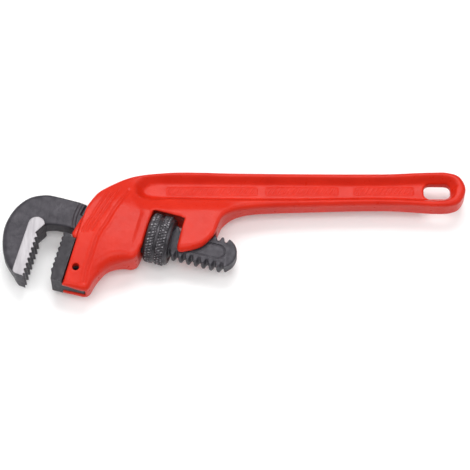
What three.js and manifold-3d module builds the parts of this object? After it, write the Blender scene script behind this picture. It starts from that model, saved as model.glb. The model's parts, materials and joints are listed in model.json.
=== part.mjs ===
// Pipe wrench with offset jaws, 10 inch size, lying on its side.
// Millimetres. X runs along the handle with the jaws at -X, Y points to the back of the wrench, and Z is
// the thickness. The jaw frame (u along the threaded shank towards its heel, v across it) is tilted to the
// handle, and every moving piece is drawn in it.
import * as THREE from 'three';
import { mergeVertices } from 'three/addons/utils/BufferGeometryUtils.js';
import Module from 'manifold-3d';

const wasm = await Module();
wasm.setup();

// ---------- driving dimensions ----------
const GAP = 0.3;                      // clearance between pieces that touch

const JAW_TILT = 15.5;                // degrees the shank leans away from the handle
const JAW_ORIGIN = [-10.6, -36.3];    // where the jaw frame sits, on the shank's axis

const HANDLE_END = 125.8;             // X of the handle's free end
const HANDLE_THICK = 12.8;
const WEB_THICK = 4.2;                // web of the handle's I section
const RIM_WIDTH = 1.9;                // flange edge outside the trough
const TROUGH_SLOPE = 3.2;             // how far the trough walls lean in
const HANG_SLOT = { x: 110.2, length: 14.5, height: 8.8, corner: 3.4 };

const CHEEK_THICK = 16.4;             // cheeks beside the shank and upper part of the jaw walls
const BARREL_THICK = 20;              // housing around the shank, left of the nut

const THREAD_PITCH = 25.4 / 6;        // six threads to the inch
const THREAD_CREST = 9.5;
const THREAD_DEPTH = 2.3;
const THREAD_PHASE = 1.65;            // where along the shank a crest faces the back
const SHANK_THICK = 8.4;
const NECK_THICK = 8.8;
const NECK_HALF = 8.1;
const THREAD_START = -52;
const THREAD_END = 8.2;               // the last threads run into the round heel
const HEEL_CENTRE = 2.5;
const HEEL_RADIUS = 9.2;
const HEEL_START = 7.0;

const HOOK_THICK = 13;
const HOOK_END = -90.5;               // where the hook's full thickness ends, clear of the housing when shut
const JAW_THICK = 16;                 // width of both toothed faces
const TOOTH_PITCH = 25.4 / 8;
const HOOK_TEETH = { face: -94.1, depth: 1.7, first: -19.6, count: 8 };
const HEEL_TEETH = { face: -81.5, depth: 1.3, first: -13.5, count: 8 };

const WALL_FRONT = -73.6;             // front edge of the jaw walls
const WALL_TIP = -41.8;
const TONGUE_THICK = 5.0;
const TONGUE_BACK = -61.6;
const JAW_PIN = { u: -69.2, v: -30.6, radius: 1.9, length: 12 };

const NUT = { left: -37.5, length: 12.2, radius: 13.6, groove: 0.5, collar: 12 };
const WINDOW = { left: -38.2, right: -20.6, top: 12.6, relief: 14.7 };

const SLOT_THICK = 9.6;               // slot that the shank slides in
const SLOT_LOW = -10.1;
const SPRING_ROOM = 1.3;              // height above the leaf spring for its bow
const HEEL_ROOM = 1.2;                // height above the thread, right of the nut

const ROCK_PIVOT = [WINDOW.left, 0];
const ROCK_RANGE = 2.5;               // degrees that the hook jaw rocks
const SPRING_PIN = { u: -46, v: 13.9, radius: 1.5, length: 13 };
const LEAF = { thick: 0.9, width: 7.6, tip: -71 };
const COIL = { u: -52, floor: -15.8, top: -9.95, radius: 2.1, wire: 0.4, turns: 4.5, pocket: 3.1 };

// ---------- colours ----------
const enamel = { color: 0xc9302a, roughness: 0.38, metalness: 0.0 };
const blackSteel = { color: 0x35333a, roughness: 0.5, metalness: 0.7 };
const springSteel = { color: 0x6a6c70, roughness: 0.4, metalness: 0.9 };

// ---------- helpers ----------
function solid(geometry) {
  const plain = geometry.index ? geometry.toNonIndexed() : geometry.clone();
  plain.deleteAttribute('normal');
  plain.deleteAttribute('uv');
  const merged = mergeVertices(plain, 1e-4);
  const mesh = new wasm.Mesh({
    numProp: 3,
    vertProperties: new Float32Array(merged.attributes.position.array),
    triVerts: new Uint32Array(merged.index.array),
  });
  return new wasm.Manifold(mesh);
}

function geometryOf(manifold) {
  const mesh = manifold.getMesh();
  const geometry = new THREE.BufferGeometry();
  geometry.setAttribute('position', new THREE.BufferAttribute(new Float32Array(mesh.vertProperties), 3));
  geometry.setIndex(new THREE.BufferAttribute(new Uint32Array(mesh.triVerts), 1));
  return geometry;
}

function join(...solids) {
  return solids.reduce((whole, piece) => whole.add(piece));
}

function cut(whole, ...cutters) {
  return cutters.reduce((left, cutter) => left.subtract(cutter), whole);
}

// A plate drawn in a plane, centred on z = 0, with its edges rounded by the given radius.
function plate(shape, thickness, round = 0, roundSteps = 2, curveSegments = 3) {
  const outline = tidyOutline(shape.getPoints(curveSegments));
  const normals = outwardNormals(outline);
  const steps = round > 0 ? roundSteps : 0;
  const levels = [];
  for (let i = 0; i <= steps; i += 1) {
    const turn = steps > 0 ? (Math.PI / 2) * (i / steps) : Math.PI / 2;
    levels.push([thickness / 2 - round + round * Math.cos(turn), round * (1 - Math.sin(turn))]);
  }
  const below = levels.map(([height, inset]) => [-height, inset]);
  const rings = [...below, ...levels.reverse()].map(([height, inset]) => outline.map((point, i) => {
    return [point.x - inset * normals[i].x, point.y - inset * normals[i].y, height];
  }));
  const face = rings[0].map(([x, y]) => new THREE.Vector2(x, y));
  const caps = [face, outline].map((ring) => THREE.ShapeUtils.triangulateShape(ring, []));
  return skin(rings, caps.find((cap) => cap.length === outline.length - 2));
}

// Points counter-clockwise, with no two closer than a twentieth of a millimetre.
function tidyOutline(points) {
  const kept = points.filter((point, i) => point.distanceTo(points[(i + 1) % points.length]) > 0.05);
  return THREE.ShapeUtils.isClockWise(kept) ? kept.reverse() : kept;
}

// Direction in which each corner moves when the outline grows, longer at sharp corners.
function outwardNormals(outline) {
  return outline.map((point, i) => {
    const before = outline[(i + outline.length - 1) % outline.length];
    const after = outline[(i + 1) % outline.length];
    const first = point.clone().sub(before).normalize();
    const second = after.clone().sub(point).normalize();
    const normal = new THREE.Vector2(first.y + second.y, -first.x - second.x).normalize();
    const lean = Math.max(0.6, normal.x * first.y - normal.y * first.x);
    return normal.divideScalar(lean);
  });
}

function polygon(points) {
  return new THREE.Shape(points.map(([x, y]) => new THREE.Vector2(x, y)));
}

function curveThrough(shape, points) {
  shape.splineThru(points.map(([x, y]) => new THREE.Vector2(x, y)));
}

function rectangle(left, right, low, high) {
  return polygon([[left, low], [right, low], [right, high], [left, high]]);
}

// A rectangle with round corners.
function lozenge(centreX, centreY, length, height, corner) {
  const [left, right] = [centreX - length / 2, centreX + length / 2];
  const [low, high] = [centreY - height / 2, centreY + height / 2];
  const shape = new THREE.Shape();
  shape.moveTo(left + corner, low);
  shape.lineTo(right - corner, low);
  shape.absarc(right - corner, low + corner, corner, -Math.PI / 2, 0);
  shape.lineTo(right, high - corner);
  shape.absarc(right - corner, high - corner, corner, 0, Math.PI / 2);
  shape.lineTo(left + corner, high);
  shape.absarc(left + corner, high - corner, corner, Math.PI / 2, Math.PI);
  shape.lineTo(left, low + corner);
  shape.absarc(left + corner, low + corner, corner, Math.PI, 1.5 * Math.PI);
  return shape;
}

// A round bar along z through (x, y).
function crossBar(x, y, radius, length, sides = 20) {
  const bar = new THREE.CylinderGeometry(radius, radius, length, sides);
  bar.rotateX(Math.PI / 2);
  bar.translate(x, y, 0);
  return bar;
}

function jawToHandle(geometry) {
  geometry.rotateZ(-THREE.MathUtils.degToRad(JAW_TILT));
  geometry.translate(JAW_ORIGIN[0], JAW_ORIGIN[1], 0);
  return geometry;
}

function jawPoint([u, v]) {
  const tilt = THREE.MathUtils.degToRad(JAW_TILT);
  const x = JAW_ORIGIN[0] + u * Math.cos(tilt) + v * Math.sin(tilt);
  const y = JAW_ORIGIN[1] - u * Math.sin(tilt) + v * Math.cos(tilt);
  return [x, y];
}

// ---------- outlines of the casting ----------
const HANDLE_TOP = [[-20, 10.1], [35, 9.3], [78, 9.0], [108, 10.4], [116.5, 10.2]];
const HANDLE_BOTTOM = [[116.5, -9.9], [108, -10.1], [78, -8.9], [35, -9.9], [14, -10.7]];
const THROAT_FILLET = [[4, -12], [-2.6, -14.2], [-7, -17.6], [-9, -21.5]];
const TONGUE_EDGE = [[-3.2, 8], [-7.2, 0], [-12.6, -4.6]].map(jawPoint);
const TONGUE_TIP = [[-17.4, -7], [-20, -6.9]].map(jawPoint);
const BARREL_FOOT = [[-38.2, -10], [-39.6, -15.5], [-43, -18.6]].map(jawPoint);
const BELLY = [[-48.4, -19.2], [-54, -24], [-57.7, -32.6], [-58.8, -38.6]].map(jawPoint);
const CHEEK_BELLY = BELLY.slice(0, 3);
const WALL_CORNER = [[-59.9, -41], [-62.5, WALL_TIP]].map(jawPoint);
const WALL_EDGE = [[WALL_FRONT, WALL_TIP], [WALL_FRONT, -14]].map(jawPoint);
const TAB = [[-75.6, -13.9], [-77.3, -11.6]].map(jawPoint);
const BROW = [[-74.6, 1], [-72, 10]].map(jawPoint);
const CROWN = [[-68.6, 17.6], [-56, 29.6], [-37, 37.8]].map(jawPoint);

// Edge from the throat beside the shank to the belly behind the jaw walls.
function lowerEdge(shape, belly) {
  curveThrough(shape, TONGUE_EDGE);
  curveThrough(shape, TONGUE_TIP);
  shape.lineTo(...BARREL_FOOT[0]);
  curveThrough(shape, BARREL_FOOT.slice(1));
  curveThrough(shape, belly);
}

function castingOutline() {
  const shape = new THREE.Shape();
  shape.moveTo(...HANDLE_TOP[0]);
  curveThrough(shape, HANDLE_TOP.slice(1));
  curveThrough(shape, [[122.6, 7.4], [HANDLE_END, 0.1], [122.6, -7.2], HANDLE_BOTTOM[0]]);
  curveThrough(shape, [...HANDLE_BOTTOM.slice(1), ...THROAT_FILLET]);
  lowerEdge(shape, BELLY);
  curveThrough(shape, WALL_CORNER);
  WALL_EDGE.forEach((point) => shape.lineTo(...point));
  curveThrough(shape, TAB);
  curveThrough(shape, BROW);
  curveThrough(shape, [...CROWN, HANDLE_TOP[0]]);
  return shape;
}

// Upper part of the jaw walls, window surround and cheeks: everything below the handle's trough.
function cheekOutline() {
  const shape = new THREE.Shape();
  shape.moveTo(-6.5, -12.5);
  shape.lineTo(...THROAT_FILLET.at(-1));
  lowerEdge(shape, CHEEK_BELLY);
  shape.lineTo(...jawPoint([WALL_FRONT, -33]));
  shape.lineTo(...WALL_EDGE[1]);
  curveThrough(shape, TAB);
  curveThrough(shape, BROW);
  shape.lineTo(...jawPoint([-68.3, 14]));
  shape.lineTo(...jawPoint([-58, 22]));
  shape.lineTo(...jawPoint([-40, 18]));
  return shape;
}

function barrelOutline() {
  const shape = new THREE.Shape();
  shape.moveTo(...BARREL_FOOT[0]);
  curveThrough(shape, BARREL_FOOT.slice(1));
  curveThrough(shape, [[-55, -20], [-66, -11]].map(jawPoint));
  curveThrough(shape, [[-70, 1], [-68.4, 12]].map(jawPoint));
  curveThrough(shape, [[-60, 20], [-48, 20.6], [-38.2, 15]].map(jawPoint));
  return shape;
}

// Right end of the window leans, so the opening narrows a little upwards.
function windowCutter() {
  const { left, right, top } = WINDOW;
  const shape = new THREE.Shape();
  shape.moveTo(left, -30);
  shape.lineTo(right + 2.6, -30);
  shape.lineTo(right, 0);
  shape.lineTo(right - 1.3, top - 1.6);
  shape.lineTo(right - 2.6, top);
  shape.lineTo(left + 1.6, top);
  shape.lineTo(left, top - 1.6);
  return solid(jawToHandle(plate(shape, 40)));
}

function nutRelief() {
  const relief = new THREE.CylinderGeometry(WINDOW.relief, WINDOW.relief, WINDOW.right - WINDOW.left, 40);
  relief.rotateZ(Math.PI / 2);
  relief.translate((WINDOW.left + WINDOW.right) / 2, 0, 0);
  return solid(jawToHandle(relief));
}

// Slot for the shank: it rises towards the jaw, which leaves room for the leaf spring and for the rock.
function shankSlot() {
  const rise = (WINDOW.left + 90) * Math.tan(THREE.MathUtils.degToRad(ROCK_RANGE));
  const roof = THREAD_CREST + GAP + LEAF.thick + SPRING_ROOM;
  const heelRoof = THREAD_CREST + HEEL_ROOM;
  const left = polygon([[-90, SLOT_LOW], [-35, SLOT_LOW], [-35, roof], [-90, roof + rise]]);
  const eye = crossBar(SPRING_PIN.u + 0.3, SPRING_PIN.v, 4.6, SLOT_THICK, 24);
  const right = rectangle(-24, 40, -40, heelRoof);
  const rightSlot = plate(right, SLOT_THICK);
  return [plate(left, SLOT_THICK), eye, rightSlot].map((cutter) => solid(jawToHandle(cutter)));
}

function jawSlot() {
  const pocket = rectangle(-90, TONGUE_BACK + GAP + 0.2, WALL_TIP - 5, SLOT_LOW - 2.6);
  return solid(jawToHandle(plate(pocket, TONGUE_THICK + 2 * GAP)));
}

function pinHoles() {
  const jawPin = crossBar(JAW_PIN.u, JAW_PIN.v, JAW_PIN.radius + GAP, 40);
  const { u, v, radius, length } = SPRING_PIN;
  const springPin = crossBar(u, v, radius + GAP, length + 2 * GAP);
  return [jawPin, springPin].map((hole) => solid(jawToHandle(hole)));
}

function coilPocket() {
  const depth = SLOT_LOW + 1 - (COIL.floor - GAP);
  const pocket = new THREE.CylinderGeometry(COIL.pocket, COIL.pocket, depth, 20);
  pocket.translate(COIL.u, COIL.floor - GAP + depth / 2, 0);
  return solid(jawToHandle(pocket));
}

// Sloping trough on one side of the handle.
function trough(side) {
  const depth = (HANDLE_THICK - WEB_THICK) / 2;
  const inset = RIM_WIDTH + TROUGH_SLOPE;
  const shape = new THREE.Shape();
  shape.moveTo(-49, 0.8);
  curveThrough(shape, [[-44, 3.9], [-30, 10 - inset], [35, 9.3 - inset]]);
  curveThrough(shape, [[78, 9 - inset], [108, 10.2 - inset]]);
  curveThrough(shape, [[115.5, 3.8], [117.4, 0], [115.5, -3.8], [108, -10 + inset]]);
  curveThrough(shape, [[78, -8.9 + inset], [35, -9.4 + inset], [0, -9.2 + inset], [-40, -8.4 + inset]]);
  curveThrough(shape, [[-48, -1.9], [-49, 0.8]]);
  const geometry = new THREE.ExtrudeGeometry(shape, {
    depth: 4,
    bevelEnabled: true,
    bevelThickness: depth,
    bevelSize: TROUGH_SLOPE,
    bevelSegments: 1,
    curveSegments: 4,
  });
  geometry.translate(0, 0, HANDLE_THICK / 2);
  if (side < 0) {
    geometry.rotateX(Math.PI);
    geometry.scale(1, -1, 1);
    reverseFaces(geometry);
  }
  return solid(geometry);
}

function reverseFaces(geometry) {
  const position = geometry.attributes.position;
  const a = new THREE.Vector3();
  const b = new THREE.Vector3();
  for (let i = 0; i < position.count; i += 3) {
    a.fromBufferAttribute(position, i + 1);
    b.fromBufferAttribute(position, i + 2);
    position.setXYZ(i + 1, b.x, b.y, b.z);
    position.setXYZ(i + 2, a.x, a.y, a.z);
  }
}

function handle() {
  const core = solid(plate(castingOutline(), HANDLE_THICK, 2));
  const cheeks = solid(plate(cheekOutline(), CHEEK_THICK, 2));
  const barrel = solid(plate(barrelOutline(), BARREL_THICK, 3.2));
  const hole = lozenge(HANG_SLOT.x, 0, HANG_SLOT.length, HANG_SLOT.height, HANG_SLOT.corner);
  return cut(
    join(core, cheeks, barrel),
    trough(1),
    trough(-1),
    solid(plate(hole, 40, 0, 1, 4)),
    windowCutter(),
    nutRelief(),
    ...shankSlot(),
    jawSlot(),
    ...pinHoles(),
    coilPocket(),
  );
}

// ---------- threads ----------
// Radius of the shank's thread at distance x along the axis and at an angle about it: rounded crests and
// roots, right-handed.
function threadRadius(x, angle) {
  const turn = 2 * Math.PI * ((x - THREAD_PHASE) / THREAD_PITCH) - angle;
  const wave = THREE.MathUtils.clamp(1.35 * Math.cos(turn), -1, 1);
  return THREAD_CREST - THREAD_DEPTH / 2 + (THREAD_DEPTH / 2) * wave;
}

// The nut's thread is the shank's, moved out by the running clearance.
function nutThreadRadius(x, angle) {
  const shift = 0.22;
  const radii = [x - shift, x, x + shift].map((at) => threadRadius(at, angle));
  return Math.max(...radii) + GAP;
}

// A closed skin over rings of points that all have the same count. The triangles of the two end caps are
// given as corner numbers, or fan out from the first point.
function skin(rings, cap = null) {
  const count = rings[0].length;
  const faces = sideFaces(rings.length - 1, count, (i) => i + 1);
  const last = (rings.length - 1) * count;
  const fan = Array.from({ length: count - 2 }, (_, j) => [0, j + 1, j + 2]);
  for (const [a, b, c] of cap ?? fan) {
    faces.push(a, c, b);
    faces.push(last + a, last + b, last + c);
  }
  return meshOf(rings, faces);
}

// Rings that run out along the outside and back through a bore, the last joined to the first.
function closedRings(rings) {
  return meshOf(rings, sideFaces(rings.length, rings[0].length, (i) => (i + 1) % rings.length));
}

function sideFaces(bands, count, nextRing) {
  const faces = [];
  for (let i = 0; i < bands; i += 1) {
    for (let j = 0; j < count; j += 1) {
      const a = i * count + j;
      const b = i * count + ((j + 1) % count);
      const c = nextRing(i) * count + j;
      const d = nextRing(i) * count + ((j + 1) % count);
      faces.push(a, b, c, b, d, c);
    }
  }
  return faces;
}

function meshOf(rings, faces) {
  const geometry = new THREE.BufferGeometry();
  geometry.setAttribute('position', new THREE.Float32BufferAttribute(rings.flat(2), 3));
  geometry.setIndex(faces);
  return geometry;
}

// How far the shank reaches to either side at x: to its crests, and less where the heel is round.
function heelReach(x) {
  return x < HEEL_CENTRE ? THREAD_CREST : Math.sqrt(HEEL_RADIUS ** 2 - (x - HEEL_CENTRE) ** 2);
}

// Threaded stretch of the flat shank: only the top and bottom of the round thread are left, and its end is
// rounded like the heel.
function threadedBar() {
  const acrossSteps = 4;
  const rowsPerPitch = 7;
  const rows = Math.round(((THREAD_END - THREAD_START) / THREAD_PITCH) * rowsPerPitch);
  const rings = [];
  for (let i = 0; i <= rows; i += 1) {
    const x = THREAD_START + ((THREAD_END - THREAD_START) * i) / rows;
    const ring = [];
    for (const side of [1, -1]) {
      for (let j = 0; j <= acrossSteps; j += 1) {
        const z = side * SHANK_THICK * (j / acrossSteps - 0.5);
        const angle = Math.atan2(z, side * Math.sqrt(THREAD_CREST ** 2 - z ** 2));
        const radius = threadRadius(x, angle);
        ring.push([x, side * Math.min(Math.sqrt(radius ** 2 - z ** 2), heelReach(x)), z]);
      }
    }
    rings.push(ring);
  }
  return solid(skin(rings));
}

// ---------- hook jaw ----------
function toothedEdge({ face, depth, first, count }, direction) {
  const points = [];
  for (let i = 0; i < count; i += 1) {
    const tip = first - i * TOOTH_PITCH;
    points.push([face + direction * depth, tip + 0.62 * TOOTH_PITCH]);
    points.push([face, tip + 0.1 * TOOTH_PITCH]);
    points.push([face, tip]);
    points.push([face + direction * depth, tip - 0.16 * TOOTH_PITCH]);
  }
  return points;
}

function hookBody() {
  const shape = new THREE.Shape();
  shape.moveTo(HOOK_END, NECK_HALF);
  curveThrough(shape, [[-97, 7.6], [-106, 3], [-112.4, -6.4], [-113.9, -16], [-112.7, -24]]);
  curveThrough(shape, [[-109, -32.4], [-102.7, -40.4], [-98.8, -42.6]]);
  shape.lineTo(-97.4, -43);
  shape.lineTo(-97.4, -15);
  curveThrough(shape, [[-94.6, -12.4], [-92.4, -10], [HOOK_END, -NECK_HALF]]);
  return plate(shape, HOOK_THICK, 2.4);
}

function toothBlock() {
  const back = -101.4;
  const shape = new THREE.Shape();
  const edge = toothedEdge(HOOK_TEETH, -1);
  shape.moveTo(...edge[0]);
  edge.slice(1).forEach((point) => shape.lineTo(...point));
  shape.lineTo(-94.3, -43.6);
  shape.lineTo(-99.2, -43.2);
  curveThrough(shape, [[-100.9, -42.2], [back, -40.6]]);
  shape.lineTo(back, -12.4);
  shape.absarc(back + 4.6, -12.4, 4.6, Math.PI, 0.12 * Math.PI, true);
  shape.lineTo(-92.5, -11.3);
  shape.lineTo(-95.8, -17.2);
  return plate(shape, JAW_THICK);
}

function neck() {
  return plate(rectangle(-96, -51, -NECK_HALF, NECK_HALF), NECK_THICK, 0.8, 1);
}

function heelEnd() {
  const turn = Math.acos((HEEL_START - HEEL_CENTRE) / HEEL_RADIUS);
  const shape = new THREE.Shape();
  shape.absarc(HEEL_CENTRE, 0, HEEL_RADIUS, -turn, turn);
  return plate(shape, SHANK_THICK, 0.8, 1, 14);
}

// Plain shallow panel in each side of the heel.
function heelPanels() {
  const depth = 0.5;
  return [1, -1].map((side) => {
    const panel = plate(lozenge(-7, -0.2, 24, 7.6, 3.7), 2 * depth, 0, 1, 4);
    panel.translate(0, 0, (side * SHANK_THICK) / 2);
    return solid(panel);
  });
}

function hookJaw() {
  const body = join(solid(hookBody()), solid(toothBlock()), solid(neck()), threadedBar(), solid(heelEnd()));
  return cut(body, ...heelPanels());
}

// ---------- nut ----------
function adjustingNut() {
  const around = 36;
  const innerRows = 18;
  const { length, radius, groove, collar } = NUT;
  const profile = [
    [0, radius - 1.2], [0.9, radius], [4.6, radius], [5.1, radius - groove], [6.3, radius - groove],
    [6.8, radius], [10.4, radius], [11.1, collar + 0.4], [length - 0.5, collar + 0.3], [length, collar],
  ];
  const rings = profile.map(([x, r]) => ring(x, () => r));
  for (let i = innerRows; i >= 0; i -= 1) {
    const x = (length * i) / innerRows;
    rings.push(ring(x, (angle) => nutThreadRadius(NUT.left + x, angle)));
  }
  return closedRings(rings);

  function ring(x, radiusAt) {
    return Array.from({ length: around }, (_, j) => {
      const angle = (2 * Math.PI * j) / around;
      const r = radiusAt(angle);
      return [NUT.left + x, r * Math.cos(angle), r * Math.sin(angle)];
    });
  }
}

// ---------- heel jaw and its pin ----------
function heelJaw() {
  const back = WALL_FRONT - GAP;
  const foot = WALL_TIP + 0.8;
  const shape = new THREE.Shape();
  const edge = toothedEdge(HEEL_TEETH, 1);
  shape.moveTo(back, -14.6);
  shape.lineTo(-77.7, -14.6);
  shape.lineTo(-77.7, -12.7);
  shape.lineTo(-79.6, -12.7);
  edge.slice(1).forEach((point) => shape.lineTo(...point));
  shape.lineTo(-80.4, foot + 2.6);
  shape.lineTo(-80.1, foot);
  shape.lineTo(back, foot);
  const block = solid(plate(shape, JAW_THICK));
  const tongue = solid(plate(rectangle(back - 1, TONGUE_BACK, foot, -13.2), TONGUE_THICK));
  const hole = solid(crossBar(JAW_PIN.u, JAW_PIN.v, JAW_PIN.radius + GAP, 20));
  return cut(join(block, tongue), hole);
}

// Rolled spring pin: a slotted tube.
function jawPin() {
  const { u, v, radius, length } = JAW_PIN;
  const wall = 0.6;
  const opening = 0.2;
  const shape = new THREE.Shape();
  shape.absarc(u, v, radius, opening, 2 * Math.PI - opening);
  shape.absarc(u, v, radius - wall, 2 * Math.PI - 1.5 * opening, 1.5 * opening, true);
  return plate(shape, length, 0, 1, 12);
}

// ---------- springs ----------
// Leaf spring: an eye loosely round its pin, then a strip along the roof of the slot.
function leafSpring() {
  const eyeInner = 2.5;
  const eyeOuter = eyeInner + LEAF.thick;
  const { u, v } = SPRING_PIN;
  const low = THREAD_CREST + GAP;
  const shape = new THREE.Shape();
  shape.absarc(u, v, eyeOuter, -0.5 * Math.PI, 0.9 * Math.PI);
  shape.absarc(u, v, eyeInner, 0.9 * Math.PI, -0.5 * Math.PI, true);
  shape.lineTo(u, v - eyeInner);
  curveThrough(shape, [[-55, low + 1.5], [-63, low + 1.1], [LEAF.tip, low + 1.9]]);
  shape.lineTo(LEAF.tip, low + 1.0);
  curveThrough(shape, [[-63, low + 0.2], [-55, low + 0.6], [u, v - eyeOuter]]);
  return plate(shape, LEAF.width, 0, 1, 10);
}

class Helix extends THREE.Curve {
  getPoint(t, target = new THREE.Vector3()) {
    const angle = 2 * Math.PI * COIL.turns * t;
    const rise = COIL.floor + COIL.wire + (COIL.top - COIL.floor - 2 * COIL.wire) * t;
    return target.set(COIL.u + COIL.radius * Math.cos(angle), rise, COIL.radius * Math.sin(angle));
  }
}

function coilSpring() {
  const section = new THREE.Shape();
  section.absarc(0, 0, COIL.wire, 0, 2 * Math.PI);
  return new THREE.ExtrudeGeometry(section, {
    extrudePath: new Helix(),
    steps: COIL.turns * 10,
    curveSegments: 3,
  });
}

// ---------- assembly ----------
function piece(name, geometry, look) {
  const mesh = new THREE.Mesh(geometry, new THREE.MeshStandardMaterial(look));
  mesh.name = name;
  return mesh;
}

const jawGroup = new THREE.Group();
jawGroup.rotation.z = -THREE.MathUtils.degToRad(JAW_TILT);
jawGroup.position.set(JAW_ORIGIN[0], JAW_ORIGIN[1], 0);
jawGroup.add(piece('hook_jaw', geometryOf(hookJaw()), blackSteel));
jawGroup.add(piece('adjusting_nut', adjustingNut(), blackSteel));
jawGroup.add(piece('heel_jaw', geometryOf(heelJaw()), blackSteel));
jawGroup.add(piece('heel_jaw_pin', jawPin(), springSteel));
jawGroup.add(piece('leaf_spring', leafSpring(), springSteel));
jawGroup.add(piece('coil_spring', coilSpring(), springSteel));
jawGroup.add(piece('spring_pin', crossBar(SPRING_PIN.u, SPRING_PIN.v, SPRING_PIN.radius, SPRING_PIN.length),
  springSteel));

const wrench = new THREE.Group();
wrench.add(piece('handle', geometryOf(handle()), enamel));
wrench.add(jawGroup);

const part = new THREE.Group();
part.add(wrench);
wrench.updateMatrixWorld(true);
const box = new THREE.Box3().setFromObject(wrench, true);
wrench.position.set(-(box.min.x + box.max.x) / 2, -(box.min.y + box.max.y) / 2, -box.min.z);

export default part;
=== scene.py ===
# Looks of the pipe wrench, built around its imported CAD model.
# Shapes are drawn in millimetres in one of two flat frames that share the wrench's mid-plane: the handle
# frame (x along the handle, y across it, away from the camera) and the jaw frame (u along the threaded shank
# towards its heel, v across it). Heights above the mid-plane are z in the one and w in the other. Each solid
# but the nut is a signed distance field, negative inside, that is turned into a mesh. The nut is made of
# rings.
import json
import math

import bpy
import numpy as np
import openvdb
from mathutils import Matrix, Vector


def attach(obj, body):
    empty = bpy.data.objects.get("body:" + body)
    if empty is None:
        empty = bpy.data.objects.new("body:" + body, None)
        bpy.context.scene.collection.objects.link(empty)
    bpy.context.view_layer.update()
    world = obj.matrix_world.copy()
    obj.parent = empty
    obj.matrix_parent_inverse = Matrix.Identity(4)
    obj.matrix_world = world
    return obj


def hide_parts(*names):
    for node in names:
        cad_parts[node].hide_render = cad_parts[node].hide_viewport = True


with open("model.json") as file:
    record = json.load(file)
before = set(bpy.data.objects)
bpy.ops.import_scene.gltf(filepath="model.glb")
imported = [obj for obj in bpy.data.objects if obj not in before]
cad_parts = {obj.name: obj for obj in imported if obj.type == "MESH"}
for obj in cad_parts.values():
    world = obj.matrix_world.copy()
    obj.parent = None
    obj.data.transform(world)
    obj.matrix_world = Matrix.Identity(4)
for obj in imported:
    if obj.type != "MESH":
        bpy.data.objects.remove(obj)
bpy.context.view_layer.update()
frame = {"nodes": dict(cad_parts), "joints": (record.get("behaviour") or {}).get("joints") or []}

# ---------- places, from the frame ----------
MM = 0.001
JOINTS = {joint["name"]: joint for joint in frame["joints"]}
NUT_JOINT_U = -31.0                       # where on the shank the nut's joint sits
ALONG = Vector(JOINTS["nut_spin"]["axis"]).normalized()
ACROSS = Vector((-ALONG.y, ALONG.x, 0.0))
JAW_ORIGIN = Vector(JOINTS["nut_spin"]["pos_m"]) / MM - NUT_JOINT_U * ALONG
MID_LEVEL = JAW_ORIGIN.z
HANDLE_ORIGIN = Vector((-0.051, 24.757, MID_LEVEL))

# ---------- dimensions, mm ----------
INCH = 25.4

# casting
HANDLE_END = 125.68                       # x of the handle's end
WALL_FRONT = -73.6                        # u of the jaw walls' front
WALL_TIP = -41.78                         # v of the jaw walls' lowest point
WALL_RISE = 0.105                         # how fast the jaw walls thicken towards the barrel
WEB_HALF = 2.1                            # half thickness at the web, the rims, the cheeks and the barrel
RIM_HALF = 6.4
CHEEK_HALF = 8.2
BARREL_HALF = 10.0
CHEEK_SWELL = 1.0                         # extra height of the cheek beside the nut
HANDLE_SWELL = 0.25                       # extra width of the handle's edge
SLOPE_LOW = 3.6                           # width of the trough's slope: lower side, upper side, near the head
SLOPE_HIGH = 4.9
SLOPE_HEAD = 6.0
SLOPE_SOFTNESS = 0.85                     # from 0, a straight slope, to 1, an S-shaped one

# openings in the casting
WINDOW = [(-38.2, -30), (-18, -30), (-20.6, 0), (-21.9, 11), (-23.2, 12.6), (-36.6, 12.6), (-38.2, 11)]
SLOT_HALF = 4.8                           # half thickness of the shank's slot
SLOT_LOW = -10.1
SHANK_SLOT = [(-95, SLOT_LOW), (-35, SLOT_LOW), (-35, 12), (-95, 14.5)]
SPRING_EYE = (-45.7, 13.9, 4.6)           # u, v and radius
HEEL_ROOM = (-24, 40, -40, 10.7)          # left, right, low and high
NUT_ROOM_CENTRE = -29.4
NUT_ROOM_HALF = 8.8
NUT_ROOM_RADIUS = 14.7
JAW_SLOT = (-95, -61.1, -50, -12.7)
JAW_SLOT_HALVES = (2.75, 3.7)             # half thickness deep in the walls and at their front
COIL_POCKET = (-52, 0, 3.1)               # u, height above the mid-plane, and radius
COIL_POCKET_MIDDLE = -12
COIL_POCKET_HALF = 4.1
JAW_PIN = (-69.2, -30.6, 1.9)             # u, v and radius
PIN_HOLE_GAP = 0.02                       # extra radius of the pin's hole in the walls
TONGUE_HOLE_GAP = 0.2                     # and in the heel jaw's tongue
HANGING_HOLE = (102.95, 117.45, -4.4, 4.4)
HANGING_HOLE_CORNER = 3.4

# shank and hook
THREAD_PITCH = INCH / 6
THREAD_CREST = 9.5
THREAD_DEPTH = 2.3
THREAD_PHASE = 1.65
THREAD_FLATS = 1.35                       # over 1 leaves flats on the thread's crests and roots
THREAD_FLANKS = 0.6                       # scales the field, because steep flanks make distances too large
THREAD_START = -52.0
THREAD_END = 8.2
SHANK_HALF = 4.2
HEEL_CENTRE = 2.5
HEEL_RADIUS = 9.2
HEEL_START = 7.0
PANEL = (-19, 5, -4.0, 3.6)               # the shank's sunk panel: left, right, low and high
PANEL_CORNER = 3.7
PANEL_DEPTH = 0.45
PANEL_GROOVE = 0.42                       # radius of the groove round the panel
PANEL_GROOVE_DEPTH = 0.35
NECK_HALF = 8.1                           # half width of the neck
NECK_THICK_HALF = 4.7
HOOK_HALF = 6.5                           # half thickness of the hook
HOOK_END = -90.5                          # u where the hook's outline leaves the neck
JAW_HALF = 8.0                            # half thickness of the toothed faces

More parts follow.
